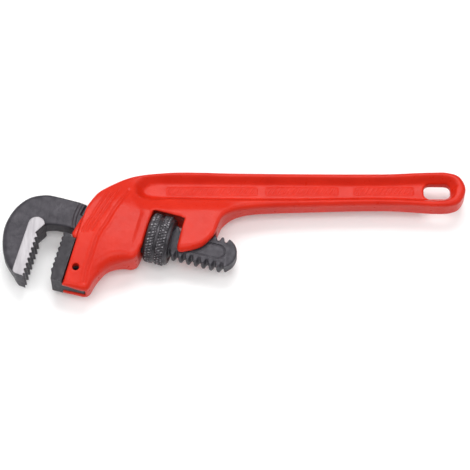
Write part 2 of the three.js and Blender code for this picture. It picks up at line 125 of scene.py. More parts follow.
# heel jaw, its pin and the nut
TOOTH_PITCH = INCH / 8
TONGUE = (-74.9, -61.6, WALL_TIP + 0.8, -13.2)
TONGUE_HALVES = (2.5, 3.4)
PIN_HALF = 3.6                            # half length of the rolled pin
PIN_WALL = 0.6
NUT_LEFT = -37.5
NUT_LENGTH = 12.9
NUT_RADIUS = 13.59


# ---------- frames ----------
def jaw_to_handle(points):
    """Flat points of the jaw frame, as points of the handle frame."""
    shift = JAW_ORIGIN - HANDLE_ORIGIN
    return [
        (shift.x + u * ALONG.x + v * ACROSS.x, shift.y + u * ALONG.y + v * ACROSS.y)
        for u, v in points
    ]


def handle_to_jaw(x, y):
    """Places in the handle frame, one or a grid of them, as places in the jaw frame."""
    dx = x - (JAW_ORIGIN.x - HANDLE_ORIGIN.x)
    dy = y - (JAW_ORIGIN.y - HANDLE_ORIGIN.y)
    return dx * ALONG.x + dy * ALONG.y, dx * ACROSS.x + dy * ACROSS.y


def jaw_matrix():
    """Takes jaw frame millimetres to the row frame's metres."""
    turn = Matrix((ALONG, ACROSS, Vector((0, 0, 1)))).transposed().to_4x4()
    return Matrix.Scale(MM, 4) @ Matrix.Translation(JAW_ORIGIN) @ turn


def handle_matrix():
    """Takes handle frame millimetres to the row frame's metres."""
    return Matrix.Scale(MM, 4) @ Matrix.Translation(HANDLE_ORIGIN)


# ---------- outlines ----------
CURVE_STEPS = 8
ARC_POINTS = 14
TOOTH_CORNERS = [(1, 0.62), (0, 0.1), (0, 0), (1, -0.16)]   # share of the depth, and pitches above the tip


def curve_through(points):
    """Points on a smooth curve through the given ones, without the first."""
    out = []
    last = len(points) - 1
    for i in range(last):
        before, start, end, after = (np.array(points[min(max(k, 0), last)]) for k in range(i - 1, i + 3))
        slope_in = (end - before) / 2
        slope_out = (after - start) / 2
        for step in range(1, CURVE_STEPS + 1):
            share = step / CURVE_STEPS
            out.append(
                (2 * start - 2 * end + slope_in + slope_out) * share**3
                + (-3 * start + 3 * end - 2 * slope_in - slope_out) * share**2
                + slope_in * share
                + start
            )
    return out


def outline_of(start, *stretches):
    """A closed outline: each stretch is ("curve" or "line", points) and goes on from the one before."""
    out = [np.array(start, float)]
    for kind, points in stretches:
        if kind == "curve":
            out += curve_through([out[-1], *points])
        else:
            out += [np.array(point, float) for point in points]
    return np.array(out)


def arc(centre, radius, start, end):
    """Points on an arc, with its angles in half turns."""
    angles = np.linspace(start * math.pi, end * math.pi, ARC_POINTS)
    return [(centre[0] + radius * math.cos(a), centre[1] + radius * math.sin(a)) for a in angles]


def toothed_edge(face, depth, first, count, direction):
    """Points of a row of teeth, from the first tip down; their roots lie to the direction's side."""
    tips = [first - i * TOOTH_PITCH for i in range(count)]
    return [
        (face + direction * depth * share, tip + above * TOOTH_PITCH)
        for tip in tips
        for share, above in TOOTH_CORNERS
    ]


# ---------- distance fields ----------
def smooth_step(low, high, value):
    """From 0 at low to 1 at high; low may be the larger of the two."""
    share = np.clip((value - low) / (high - low), 0.0, 1.0)
    return share * share * (3.0 - 2.0 * share)


def mix(first, second, share):
    return first + (second - first) * share


def soft_minimum(first, second, sharpness):
    return -np.logaddexp(-sharpness * first, -sharpness * second) / sharpness


def squared_distance(x, y, start, end):
    """Squared distance to the straight line from start to end."""
    run = end[0] - start[0]
    rise = end[1] - start[1]
    length = max(run * run + rise * rise, 1e-9)
    share = np.clip(((x - start[0]) * run + (y - start[1]) * rise) / length, 0, 1)
    return (x - start[0] - share * run) ** 2 + (y - start[1] - share * rise) ** 2


def line_distance(x, y, points):
    """Distance to an open line of points."""
    best = np.full(np.broadcast(x, y).shape, 1e9)
    for start, end in zip(points[:-1], points[1:]):
        best = np.minimum(best, squared_distance(x, y, start, end))
    return np.sqrt(best)


def outline_distance(x, y, outline):
    """Distance to a closed outline, negative inside it."""
    closed = [*outline, outline[0]]
    inside = np.zeros(np.broadcast(x, y).shape, bool)
    for start, end in zip(closed[:-1], closed[1:]):
        if start[1] != end[1]:
            crossing = start[0] + (end[0] - start[0]) * (y - start[1]) / (end[1] - start[1])
            inside ^= ((start[1] > y) != (end[1] > y)) & (x < crossing)
    return np.where(inside, -1.0, 1.0) * line_distance(x, y, closed)


def disc_distance(x, y, disc):
    """Distance to a disc of centre and radius."""
    return np.hypot(x - disc[0], y - disc[1]) - disc[2]


def box_distance(x, y, box, corner=0.0):
    """Distance to a flat box (left, right, low, high) with rounded corners."""
    left, right, low, high = box
    dx = np.abs(x - (left + right) / 2) - (right - left) / 2 + corner
    dy = np.abs(y - (low + high) / 2) - (high - low) / 2 + corner
    outside = np.hypot(np.maximum(dx, 0), np.maximum(dy, 0))
    return outside + np.minimum(np.maximum(dx, dy), 0) - corner


def both(first, second, edge=0.0):
    """Where two solids overlap, with the edge between them rounded."""
    if np.max(edge) <= 0:
        return np.maximum(first, second)
    outside = np.hypot(np.maximum(first + edge, 0), np.maximum(second + edge, 0))
    return outside + np.minimum(np.maximum(first + edge, second + edge), 0) - edge


def either(first, second, fillet=0.0):
    """Two solids joined, with a fillet between them."""
    return -both(-first, -second, fillet)


def without(first, second, edge=0.0):
    """The first solid less the second, with the edge between them rounded."""
    return both(first, -second, edge)


# ---------- meshes ----------
CASTING_CELL = 0.4                        # side of a field's cells, mm
HOOK_CELL = 0.3
SHANK_CELL = 0.27
TEETH_CELL = 0.25
PIN_CELL = 0.12
SMOOTHING_SHARES = (0.5, -0.52)           # pulls in, then pushes out by a little more, so nothing shrinks
EDGE_FULL = 0.16                          # lift of a corner, against its edges, that counts as a full edge
EDGE_ROUNDS = 4


def corner_places(mesh):
    places = np.empty(len(mesh.vertices) * 3)
    mesh.vertices.foreach_get("co", places)
    return places.reshape(-1, 3)


class Net:
    """A mesh's edges, to average values around each of its corners."""

    def __init__(self, mesh):
        ends = np.empty(len(mesh.edges) * 2, np.int64)
        mesh.edges.foreach_get("vertices", ends)
        self.start, self.end = ends.reshape(-1, 2).T
        self.corners = len(mesh.vertices)
        ones = np.ones(len(mesh.edges))
        self.edges_at = np.maximum(self.total(ones, ones), 1)

    def total(self, at_start, at_end):
        return np.bincount(self.start, at_start, self.corners) + np.bincount(self.end, at_end, self.corners)

    def over_edges(self, values):
        """At each corner, the average of the values of its edges."""
        return self.total(values, values) / self.edges_at

    def over_neighbours(self, values):
        """At each corner, the average of the values of the corners next to it."""
        return self.total(values[self.end], values[self.start]) / self.edges_at

    def middles(self, places):
        """At each corner, the middle of the corners next to it."""
        return np.stack([self.over_neighbours(places[:, k]) for k in range(3)], axis=1)


def mesh_from_field(name, field, low, high, cell, smoothing):
    """Object whose surface is where the field is zero, between two corners, in the field's millimetres."""
    x, y, z = np.ix_(*[np.arange(start, stop + cell, cell) for start, stop in zip(low, high)])
    reach = 3 * cell
    values = np.clip(field(x, y, z), -reach, reach).astype(np.float32)
    grid = openvdb.FloatGrid(reach)
    grid.copyFromArray(np.ascontiguousarray(values))
    points, quads = grid.convertToQuads(0.0)
    mesh = bpy.data.meshes.new(name)
    mesh.from_pydata((points * cell + np.array(low, float)).tolist(), [], quads.tolist())
    smooth_vertices(mesh, smoothing)
    piece = object_of(name, mesh)
    store_edges(mesh)
    return piece


def smooth_vertices(mesh, rounds):
    net = Net(mesh)
    places = corner_places(mesh)
    for _ in range(rounds):
        for share in SMOOTHING_SHARES:
            places = places + share * (net.middles(places) - places)
    mesh.vertices.foreach_set("co", places.ravel())
    mesh.update()


def object_of(name, mesh):
    mesh.update()
    piece = bpy.data.objects.new(name, mesh)
    bpy.context.scene.collection.objects.link(piece)
    turn_faces_out(mesh)
    mesh.polygons.foreach_set("use_smooth", np.ones(len(mesh.polygons), bool))
    return piece


def turn_faces_out(mesh):
    """Flips the faces if they enclose a negative volume."""
    mesh.calc_loop_triangles()
    corners = np.empty(len(mesh.loop_triangles) * 3, np.int64)
    mesh.loop_triangles.foreach_get("vertices", corners)
    first, second, third = corner_places(mesh)[corners.reshape(-1, 3)].transpose(1, 0, 2)
    if np.einsum("ij,ij->i", first, np.cross(second, third)).sum() < 0:
        mesh.flip_normals()


def store_edges(mesh):
    """Keeps how convex the surface is at each corner, for the materials."""
    net = Net(mesh)
    places = corner_places(mesh)
    normals = np.empty(len(mesh.vertices) * 3)
    mesh.vertex_normals.foreach_get("vector", normals)
    step = net.over_edges(np.linalg.norm(places[net.start] - places[net.end], axis=1))
    lift = np.einsum("ij,ij->i", places - net.middles(places), normals.reshape(-1, 3)) / step
    for _ in range(EDGE_ROUNDS):
        lift = 0.5 * lift + 0.5 * net.over_neighbours(lift)
    set_edge_attribute(mesh, lift / EDGE_FULL)


def set_edge_attribute(mesh, values):
    """Attribute edge: from -1 in a hollow, by 0 on a flat, to 1 on an outer edge."""
    attribute = mesh.attributes.new("edge", "FLOAT", "POINT")
    attribute.data.foreach_set("value", np.clip(values, -1, 1).astype(np.float32))


def place(piece, matrix, body, slot, material, *nodes):
    """Moves a piece from its millimetre frame to the row frame, and hands it to its CAD body."""
    piece.data.transform(matrix)
    piece.data.update()
    if material is not None:
        piece.data.materials.append(material)
    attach(piece, body)
    if nodes:
        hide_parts(*nodes)


# ---------- casting: outlines ----------
def casting_outline():
    """From the handle's top, round its end and back below it, round the tongue, the barrel and the head."""
    start = (-20, 10.1)
    jaw = jaw_to_handle
    return outline_of(
        start,
        ("curve", [(35, 9.5), (78, 9.4), (106, 10.24), (115.8, 10.14), (122.7, 7.4), (HANDLE_END, 0.1),
                   (122.6, -7.4), (116.5, -10.2), (108, -10.4)]),
        ("curve", [(78, -8.9), (35, -9.9), (14, -10.7), (4, -12), (-2.6, -14.2), (-7, -17.6), (-9, -21.5)]),
        ("curve", jaw([(-3.2, 8), (-7.2, 0.2), (-12.6, -4.2)])),
        ("curve", jaw([(-17.4, -6.4), (-20, -6.2)])),
        ("line", jaw([(-38.2, -10)])),
        ("curve", jaw([(-39.2, -15.6), (-42, -18.6), (-47.4, -20.8), (-53.4, -25.3), (-57.4, -33),
                       (-58.7, -38.6)])),
        ("curve", jaw([(-59.9, -41), (-62.5, WALL_TIP)])),
        ("line", jaw([(WALL_FRONT, WALL_TIP), (WALL_FRONT, -14)])),
        ("curve", jaw([(-75.6, -13.9), (-77.3, -11.6)])),
        ("curve", jaw([(-74.6, 1), (-72, 10)])),
        ("curve", jaw([(-68.3, 17.4), (-56, 29.6), (-37, 37.8)]) + [start]),
    )


def trough_outline():
    start = (-49, 0.8)
    return outline_of(
        start,
        ("curve", [(-44, 3.4), (-30, 3.8), (35, 3.0), (78, 2.7), (108, 3.9)]),
        ("curve", [(115.5, 3.2), (117.4, 0), (115.5, -3.8), (108, -4.9)]),
        ("curve", [(78, -3.8), (35, -4.3), (0, -4.1), (-40, -3.3)]),
        ("curve", [(-48, -1.9), start]),
    )


# ---------- casting: height of its sides ----------
GROOVE = [(-62.0, -37.5), (-62.8, -31), (-62.7, -12), (-61.8, -7), (-60.3, -2.5), (-58.3, 7), (-54.3, 20.5)]
GROOVE_DEPTH = 0.52
GROOVE_WIDTH = 0.8
GROOVE_LIPS = (-1.6, 1.5)                 # how far the low ridges lie to either side of the groove
RIB_VALLEYS = [
    [(-71.4, -10.2), (-64.1, 20)],
    [(-69.3, -9.6), (-61.2, 20)],
    [(-66.7, -8.4), (-58.9, 21)],
]
VALLEY_DEPTH = 0.5
VALLEY_WIDTH = 0.6
CREST_HEIGHT = 0.22
CREST_WIDTH = 0.7
WEB_BANDS = [(-37, 12), (17, 56), (65, 97)]   # where the ribbed bands on the web begin and end
WEB_BAND_HALF = 2.3
WEB_BAND_CORNER = 0.8
WEB_BORDER_HEIGHT = 0.16
WEB_RIB_HEIGHT = 0.3
WEB_RIB_PITCH = 2.6
WEB_RIB_LEAN = 0.7


def bump_along(u, v, line, width, height):
    """A soft ridge along a line, or a valley where height is negative."""
    return height * np.exp(-((line_distance(u, v, line) / width) ** 2))


def side_relief(u, v):
    """Groove and ribs cast into the sides of the head."""
    groove = bump_along(u, v, GROOVE, GROOVE_WIDTH, -GROOVE_DEPTH)
    for shift in GROOVE_LIPS:
        ridge = [(a + shift, b) for a, b in GROOVE[:-1]]
        groove = groove + bump_along(u, v, ridge, GROOVE_WIDTH, CREST_HEIGHT)
    ribs = 0.0
    for valley in RIB_VALLEYS:
        ribs = ribs + bump_along(u, v, valley, VALLEY_WIDTH, -VALLEY_DEPTH)
    for first, second in zip(RIB_VALLEYS, RIB_VALLEYS[1:]):
        crest = [((a[0] + b[0]) / 2, (a[1] + b[1]) / 2) for a, b in zip(first, second)]
        ribs = ribs + bump_along(u, v, crest, CREST_WIDTH, CREST_HEIGHT)
    return groove + ribs * smooth_step(24, 15, v)


def web_relief(x, y):
    """Bands of slanting ribs on the web, each inside a thin raised border."""
    relief = np.zeros(np.broadcast(x, y).shape)
    for left, right in WEB_BANDS:
        band = box_distance(x, y, (left, right, -WEB_BAND_HALF, WEB_BAND_HALF), WEB_BAND_CORNER)
        along = ((x - left - WEB_RIB_LEAN * y) / WEB_RIB_PITCH) % 1.0
        rib = smooth_step(0.42, 0.08, np.abs(along - 0.5))
        relief = relief + WEB_RIB_HEIGHT * rib * smooth_step(0.1, -0.3, band)
        relief = relief + WEB_BORDER_HEIGHT * smooth_step(0.5, 0.15, np.abs(band + 0.1))
    return relief


def cheek_height(x, y):
    """Height of the rims, and of the cheeks on both sides of the window."""
    u, v = handle_to_jaw(x, y)
    height = mix(RIM_HALF, CHEEK_HALF, smooth_step(-6, -15, y) * smooth_step(8, -8, x))
    return height + CHEEK_SWELL * smooth_step(-26, -36, u) * smooth_step(22, 8, v)


def head_height(v):
    """Height of the head: up from the jaw walls' tip to the barrel, and down again to the rim at its top."""
    wall = RIM_HALF + WALL_RISE * (v - WALL_TIP)
    top = BARREL_HALF - (BARREL_HALF - RIM_HALF) * smooth_step(8, 31, v)
    return soft_minimum(wall, top, 2)


def up_the_slope(x, y):
    """How far up the trough's soft slope a point is: 0 on the web, 1 on the rim."""
    width = mix(SLOPE_LOW, SLOPE_HIGH, smooth_step(-0.5, 2, y))
    width = mix(width, SLOPE_HEAD, smooth_step(-36, -47, x))
    rise = np.clip(outline_distance(x, y, trough_outline()) / width, 0, 1)
    return mix(rise, smooth_step(0, 1, rise), SLOPE_SOFTNESS)


def side_height(x, y):
    """Height of the casting's side above its mid-plane."""
    u, v = handle_to_jaw(x, y)
    high_up = smooth_step(6, 20, v)
    into_head = smooth_step(mix(-42.2, -36, high_up), mix(-44.6, -54, high_up), u)
    height = mix(cheek_height(x, y), head_height(v), into_head)
    past_front = smooth_step(WALL_FRONT + 0.3, WALL_FRONT - 0.6, u)
    height = mix(height, np.minimum(height, RIM_HALF), past_front)
    height = height + side_relief(u, v) * smooth_step(-40, -46, u)
    return mix(WEB_HALF + web_relief(x, y), height, up_the_slope(x, y))


# ---------- casting: solid ----------
EDGE_RADIUS = 2.0                         # rounding of the outer edge
BARREL_EXTRA = 4.0                        # what it gains or loses in some places
HANDLE_EXTRA = 1.3
HANDLE_END_EXTRA = 0.3
TONGUE_EXTRA = 1.6
FRONT_LESS = 0.7
WINDOW_EDGE = 1.7                         # rounding where an opening meets the surface
HANGING_HOLE_EDGE = 0.9
OPENING_EDGE = 0.5
PIN_HOLE_EDGE = 0.25


def edge_radius(x, y):
    """Rounding of the outer edge: large under the barrel, less on the handle and tongue, small elsewhere."""
    u, v = handle_to_jaw(x, y)
    barrel = smooth_step(-6, -12, v) * smooth_step(-64, -60, u) * smooth_step(-37, -52, u)
    barrel = barrel * mix(1.0, 0.15, smooth_step(-25, -38, v))
    handle = smooth_step(-25, 0, x) * smooth_step(-18, -13, y)
    tongue = smooth_step(4, -3, v) * smooth_step(-24, -20, u)
    front = smooth_step(-68, -72, u) * smooth_step(2, -4, v)
    handle_extra = mix(HANDLE_EXTRA, HANDLE_END_EXTRA, smooth_step(80, 100, x))
    extra = BARREL_EXTRA * barrel + handle_extra * handle + TONGUE_EXTRA * tongue
    return EDGE_RADIUS + extra - FRONT_LESS * front


def solid_casting(x, y, z):
    """The casting before its openings are cut."""
    swell = HANDLE_SWELL * smooth_step(-30, -10, x) * smooth_step(95, 75, x)
    outline = outline_distance(x, y, casting_outline()) - swell
    return both(outline, np.abs(z) - side_height(x, y), edge_radius(x, y))


def widening(halves, u):
    """Half thickness of the heel jaw's tongue, or of its slot: wider towards the tooth block."""
    return mix(*halves, smooth_step(-63, -72, u))


def inner_openings(u, v, z):
    """The slots, the coil spring's pocket, and the room for the leaf spring's eye, the nut and the heel."""
    level = np.abs(z)
    return (
        both(outline_distance(u, v, SHANK_SLOT), level - SLOT_HALF),
        both(disc_distance(u, v, SPRING_EYE), level - SLOT_HALF),
        both(box_distance(u, v, HEEL_ROOM), level - SLOT_HALF),
        both(np.hypot(v, z) - NUT_ROOM_RADIUS, np.abs(u - NUT_ROOM_CENTRE) - NUT_ROOM_HALF),
        both(box_distance(u, v, JAW_SLOT), level - widening(JAW_SLOT_HALVES, u)),
        both(disc_distance(u, z, COIL_POCKET), np.abs(v - COIL_POCKET_MIDDLE) - COIL_POCKET_HALF),
    )


def casting_field(x, y, z):
    u, v = handle_to_jaw(x, y)
    body = without(solid_casting(x, y, z), outline_distance(u, v, WINDOW), WINDOW_EDGE)
    body = without(body, box_distance(x, y, HANGING_HOLE, HANGING_HOLE_CORNER), HANGING_HOLE_EDGE)
    for opening in inner_openings(u, v, z):
        body = without(body, opening, OPENING_EDGE)
    return without(body, disc_distance(u, v, JAW_PIN) - PIN_HOLE_GAP, PIN_HOLE_EDGE)


def make_casting(material):
    casting = mesh_from_field("casting", casting_field, (-95, -60, -11), (127.5, 12.5, 11), CASTING_CELL, 6)
    place(casting, handle_matrix(), "handle_body", "red_enamel", material, "handle")


# ---------- hook jaw ----------
STEPS_START = -79.5                       # u of the first milled step, at the neck's middle
STEPS_CURVE = 0.02                        # how strongly the steps curve
STEP_PLACES = (0.0, 1.7)                  # how far past it each of the two steps begins
STEP_DEPTH = 0.45
RECESS_PLACE = 3.2                        # and the recess
RECESS_DEPTH = 1.3
HOOK_EDGE = 2.6
NECK_EDGE = 1.2
TIP_EDGE = 1.0
PAD_TEETH = 8
PAD_TOOTH_DEPTH = 1.15


def hook_outline():
    return outline_of(
        (-51, NECK_HALF),
        ("line", [(-85.5, NECK_HALF)]),
        ("curve", [(HOOK_END, 8.05), (-97.6, 7.2), (-105.8, 3), (-111.4, -5.2), (-113.6, -15.4),
                   (-112.5, -24.4), (-109.2, -33), (-104.2, -39.6), (-98.8, -43)]),
        ("line", [(-97.4, -43), (-97.4, -15)]),
        ("curve", [(-95, -12.2), (-91.8, -9.8), (-87.4, -8.5), (-82, -NECK_HALF)]),
        ("line", [(-51, -NECK_HALF)]),
    )


def tip_slant(u, v, w):
    """The hook's tip is dressed at a slant, so its lower side is shorter."""
    return -0.66 * u - 0.75 * v - 98.3 - 0.12 * w


def hook_field(u, v, w):
    """The hook and its thinner neck, with the curved steps and the recess that are milled beside the neck."""
    neck = smooth_step(-101, -87.5, u)
    past_step = u - STEPS_START - STEPS_CURVE * v * v
    half = mix(HOOK_HALF, NECK_THICK_HALF, neck)
    for start in STEP_PLACES:
        half = half - STEP_DEPTH * smooth_step(-0.4, 0.4, past_step - start)
    half = half - RECESS_DEPTH * smooth_step(-0.3, 0.3, past_step - RECESS_PLACE) * smooth_step(0.5, 1.5, v)
    hook = both(outline_distance(u, v, hook_outline()), np.abs(w) - half, mix(HOOK_EDGE, NECK_EDGE, neck))
    return both(hook, tip_slant(u, v, w), TIP_EDGE)


def pad_outline():
    edge = toothed_edge(-94.1, PAD_TOOTH_DEPTH, -19.6, PAD_TEETH, -1)
    return outline_of(
        edge[0],
        ("line", edge[1:] + [(-94.3, -43.6), (-99.2, -43.2)]),
        ("curve", [(-100.9, -42.2), (-101.4, -40.6)]),
        ("line", [(-101.4, -12.4)]),
        ("line", arc((-96.8, -12.4), 4.6, 1.0, 0.12)),
        ("line", [(-92.5, -11.3), (-95.8, -17.2)]),
    )


def pad_field(u, v, w):
    pad = both(outline_distance(u, v, pad_outline()), np.abs(w) - JAW_HALF, 0.4)
    return both(pad, tip_slant(u, v, w), 0.3)


def thread_radius(u, angle):
    """Radius of the screw surface that the shank and the nut share."""
    turn = 2 * math.pi * (u - THREAD_PHASE) / THREAD_PITCH - angle
    wave = np.clip(THREAD_FLATS * np.cos(turn), -1, 1)
    return THREAD_CREST - THREAD_DEPTH / 2 + THREAD_DEPTH / 2 * wave


def thread_field(u, v, w):
    """The screw, from its start to its end."""
    screw = (np.hypot(v, w) - thread_radius(u, np.arctan2(w, v))) * THREAD_FLANKS
    return np.maximum(screw, np.maximum(THREAD_START - u, u - THREAD_END))


def shank_field(u, v, w):
    """A flat bar cut from the screw, with a round heel and a sunk panel ringed by a groove."""
    thread = thread_field(u, v, w)
    side = np.abs(w) - SHANK_HALF
    disc = disc_distance(u, v, (HEEL_CENTRE, 0, HEEL_RADIUS))
    thread = np.where(u > HEEL_CENTRE, both(thread, disc, 0.5), thread)
    heel = both(np.maximum(disc, HEEL_START - u), side, 1.0)
    shank = either(both(thread, side, 0.45), heel, 0.3)
    panel = box_distance(u, v, PANEL, PANEL_CORNER)
    shank = without(shank, both(panel, -PANEL_DEPTH - side), 0.15)
    groove = np.hypot(panel, side + PANEL_GROOVE_DEPTH) - PANEL_GROOVE
    return without(shank, groove, 0.1)


def paint_sides(piece, index, level):
    """Gives the flat side faces, further than level from the mid-plane, another material."""
    for face in piece.data.polygons:
        if abs(face.center.z) > level and abs(face.normal.z) > 0.8:
            face.material_index = index


def make_hook(black, bright):
    hook = mesh_from_field("hook_forging", hook_field, (-116, -45, -8), (-50, 10, 8), HOOK_CELL, 4)
    place(hook, jaw_matrix(), "hook", "black_steel", black, "hook_jaw")
    shank = mesh_from_field("hook_shank", shank_field, (-53, -11, -5.5), (13, 11, 5.5), SHANK_CELL, 2)
    place(shank, jaw_matrix(), "hook", "black_steel", black)
    pad = mesh_from_field("hook_tooth_pad", pad_field, (-103, -45, -9), (-90.5, -6.5, 9), TEETH_CELL, 1)
    paint_sides(pad, 1, JAW_HALF - 0.35)
    pad.data.materials.append(black)
    pad.data.materials.append(bright)
    place(pad, jaw_matrix(), "hook", "bright_steel", None)


# ---------- nut ----------
NUT_AROUND = 520                          # corners in each ring
NUT_ROWS = 68                             # rows of faces outside, and in the bore
BORE_ROWS = 44
KNURLS = 50
KNURL_LEAN = 0.5 * KNURLS / (2 * math.pi * NUT_RADIUS)
KNURL_DEPTH = 0.55
NUT_PROFILE = [                           # distance from the nut's left end, and radius
    (0, NUT_RADIUS - 1.3), (1.0, NUT_RADIUS), (4.7, NUT_RADIUS),
    (5.1, NUT_RADIUS - 0.75), (6.5, NUT_RADIUS - 0.75),
    (6.9, NUT_RADIUS), (10.7, NUT_RADIUS),
    (11.3, 12.8), (NUT_LENGTH - 0.6, 12.6), (NUT_LENGTH, 12.0),
]
BORE_GAP = 0.3                            # clearance of the nut's thread, all round
BORE_SHIFTS = (-0.22, 0.0, 0.22)          # and along its axis, to either side
BORE_MOUTH = 0.9                          # chamfer at both ends
TIP_BAND = 0.3                            # what lies this close to the full radius counts as a tip


def triangle_wave(value):
    return np.abs((value % 1.0) * 2 - 1)


def nut_radius(x, angle):
    """Outer radius of the nut: two bands of crossed cuts, a plain groove between them and a plain collar."""
    around = angle * KNURLS / (2 * math.pi)
    first = triangle_wave(around + x * KNURL_LEAN)
    second = triangle_wave(around - x * KNURL_LEAN)
    knurl = np.minimum(first, 0.35 + 0.65 * second)
    first_band = smooth_step(0.2, 0.7, x) * smooth_step(4.9, 4.6, x)
    second_band = smooth_step(6.7, 7.0, x) * smooth_step(11.1, 10.7, x)
    cut = np.maximum(first_band, second_band) * KNURL_DEPTH
    return np.interp(x, *zip(*NUT_PROFILE)) - cut * (1 - np.minimum(1.25 * knurl, 1))


def nut_bore(x, angle):
    """Inner radius of the nut: the shank's thread with clearance, and a chamfer at both ends."""
    radius = np.max([thread_radius(NUT_LEFT + x + shift, angle) for shift in BORE_SHIFTS], axis=0) + BORE_GAP
    return radius + max(0.0, BORE_MOUTH - min(x, NUT_LENGTH - x))


def make_nut(material):
    angle = np.arange(NUT_AROUND) * 2 * math.pi / NUT_AROUND
    outer = [(x, nut_radius(x, angle)) for x in np.linspace(0, NUT_LENGTH, NUT_ROWS + 1)]
    inner = [(x, nut_bore(x, angle)) for x in np.linspace(NUT_LENGTH, 0, BORE_ROWS + 1)]
    rings = [
        np.stack([np.full(NUT_AROUND, NUT_LEFT + x), radius * np.cos(angle), radius * np.sin(angle)], axis=1)
        for x, radius in outer + inner
    ]
    here = np.arange(len(rings) * NUT_AROUND).reshape(len(rings), NUT_AROUND)
    above = np.roll(here, -1, axis=0)
    faces = np.stack([here, np.roll(here, -1, axis=1), np.roll(above, -1, axis=1), above], axis=-1)
    mesh = bpy.data.meshes.new("knurled_nut")
    mesh.from_pydata(np.concatenate(rings).tolist(), [], faces.reshape(-1, 4).tolist())
    nut = object_of("knurled_nut", mesh)
    below_tips = [NUT_RADIUS - radius for _, radius in outer] + [np.full(NUT_AROUND, NUT_RADIUS)] * len(inner)
    set_edge_attribute(mesh, 1 - np.concatenate(below_tips) / TIP_BAND)
    place(nut, jaw_matrix(), "nut", "black_steel", material, "adjusting_nut")


# ---------- heel jaw and its pin ----------
HEEL_TEETH = 8
HEEL_TOOTH_DEPTH = 0.95


def heel_jaw_outline():
    back = WALL_FRONT - 0.3
    foot = WALL_TIP + 0.8
    edge = toothed_edge(-81.5, HEEL_TOOTH_DEPTH, -13.5, HEEL_TEETH, 1)
    return outline_of(
        (back, -14.6),
        ("line", [(-76.0, -14.5), (-77.9, -12.7), (-79.6, -12.7)] + edge[1:]),
        ("line", [(-80.4, foot + 2.6), (-80.1, foot), (back, foot)]),
    )


def heel_jaw_field(u, v, w):
    level = np.abs(w)
    block = both(outline_distance(u, v, heel_jaw_outline()), level - JAW_HALF, 0.3)
    tongue = both(box_distance(u, v, TONGUE), level - widening(TONGUE_HALVES, u), 0.3)
    return without(either(block, tongue), disc_distance(u, v, JAW_PIN) - TONGUE_HOLE_GAP, 0.2)


def make_heel_jaw(material):
    jaw = mesh_from_field("heel_jaw_block", heel_jaw_field, (-83, -43, -9), (-60, -11, 9), TEETH_CELL, 1)
    place(jaw, jaw_matrix(), "handle_body", "black_steel", material, "heel_jaw")


def pin_field(u, v, w):
    """A tube with a slit along it."""
    wall = np.abs(disc_distance(u, v, JAW_PIN) + PIN_WALL / 2) - PIN_WALL / 2
    tube = both(wall, np.abs(w) - PIN_HALF, 0.25)
    return without(tube, box_distance(u - JAW_PIN[0], v - JAW_PIN[1], (0, 5, -0.3, 0.3)))


def make_pin(material):
    low = (JAW_PIN[0] - 2.3, JAW_PIN[1] - 2.3, -6.5)
    high = (JAW_PIN[0] + 2.3, JAW_PIN[1] + 2.3, 6.5)
    pin = mesh_from_field("rolled_pin", pin_field, low, high, PIN_CELL, 1)
    place(pin, jaw_matrix(), "handle_body", "spring_steel", material, "heel_jaw_pin")


# ---------- colours: red, green and blue, linear ----------
RED_DEEP = (0.55, 0.017, 0.006)
RED_FULL = (0.61, 0.022, 0.008)
# painted highlight: a lighter red for the outer edges, where light catches them
RED_PAINTED_HIGHLIGHT = (0.72, 0.055, 0.038)
# painted shade: a darker red for hollows and creases, where shade falls
RED_PAINTED_SHADE = (0.38, 0.008, 0.004)
BLACK_DEEP = (0.030, 0.027, 0.034)
BLACK_THIN = (0.057, 0.052, 0.062)
BLACK_EDGES = (0.24, 0.23, 0.245)
KNURL_DEEP = (0.026, 0.024, 0.028)
KNURL_THIN = (0.070, 0.064, 0.072)
KNURL_TIPS = (0.50, 0.48, 0.51)
GROUND_DARK = (0.35, 0.33, 0.35)
GROUND_BRIGHT = (0.47, 0.45, 0.465)
GROUND_STREAKS = (0.32, 0.302, 0.32)
SPRING_DARK = (0.07, 0.07, 0.08)
SPRING_LIGHT = (0.16, 0.16, 0.17)
FLOOR_DARK = (0.86, 0.86, 0.86)
FLOOR_LIGHT = (0.88, 0.88, 0.88)
GRINDING_TURN = (0, 0, math.radians(35))  # which way the marks of grinding and of drawing run
DRAWING_TURN = (0, 0, math.radians(-15))


